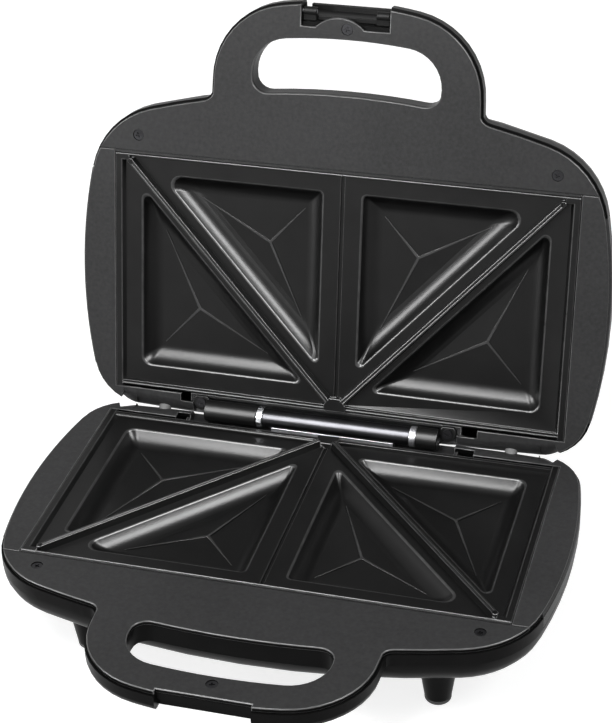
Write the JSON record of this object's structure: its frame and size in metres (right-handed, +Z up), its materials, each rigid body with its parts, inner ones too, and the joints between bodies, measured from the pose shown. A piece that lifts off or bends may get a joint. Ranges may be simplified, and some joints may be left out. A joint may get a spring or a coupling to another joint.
{
  "type": "sandwich toaster",
  "caption": "Hinged sandwich toaster standing open, with die-cast triangular-pocket plates, rolled rear frames, bowed finger-hole handles and a flip-over latch.",
  "frame": {"origin": "on the table plane, under the middle of the open toaster's bounding box", "axes": "+X to the right along the hinge, +Y to the back, from the handle to the hinge, +Z up"},
  "size_m": [0.2874, 0.2967, 0.2756],
  "materials": {
    "casing": "satin, slightly grained",
    "cover": "fine matt texture",
    "plate": "dark semi-gloss non-stick coating",
    "knuckle": "polished",
    "bright": "polished",
    "steel": "turned",
    "tube": "polished, darkened",
    "screw": "blackened",
    "rubber": "matt",
    "heater": "heat-tinted sheath",
    "sheet": "rolled",
    "ceramic": "unglazed",
    "red_lens": "translucent red",
    "green_lens": "translucent green",
    "latch": "satin"
  },
  "bodies": {
    "base": {"base_shell": "casing", "base_cover": "cover", "base_frame": "cover", "base_plate": "plate", "base_heater": "heater", "base_heater_strap": "steel", "base_reflector": "sheet", "base_plate_screws": "steel", "base_cover_screws": "screw", "foot_pads": "rubber", "hinge_tube": "tube", "hinge_cradle": "steel", "hinge_pin": "steel", "hinge_ring": "bright", "hinge_washers": "steel", "stop_bumpers": "rubber", "thermostat": "ceramic", "thermal_fuse": "ceramic", "terminal_block": "ceramic", "cord_gland": "rubber"},
    "lid": {"lid_shell": "casing", "lid_cover": "cover", "lid_frame": "cover", "lid_plate": "plate", "lid_heater": "heater", "lid_heater_strap": "steel", "lid_reflector": "sheet", "lid_plate_screws": "steel", "lid_cover_screws": "screw", "knuckle_left": "knuckle", "knuckle_right": "knuckle", "knuckle_screws": "screw", "power_lamp": "red_lens", "ready_lamp": "green_lens", "lamp_bracket": "ceramic", "latch_pins": "steel"},
    "latch": {"latch": "latch"}
  },
  "joints": [
    {"name": "lid_hinge", "type": "hinge", "parent": "base", "child": "lid", "pos_m": [0, 0.0805, 0.053], "axis": [1, 0, 0], "range_deg": [0, 101.77]},
    {"name": "latch_pivot", "type": "hinge", "parent": "lid", "child": "latch", "pos_m": [-0.0012, 0.13177, 0.27016], "axis": [1, 0, 0], "range_deg": [0, 180]}
  ]
}
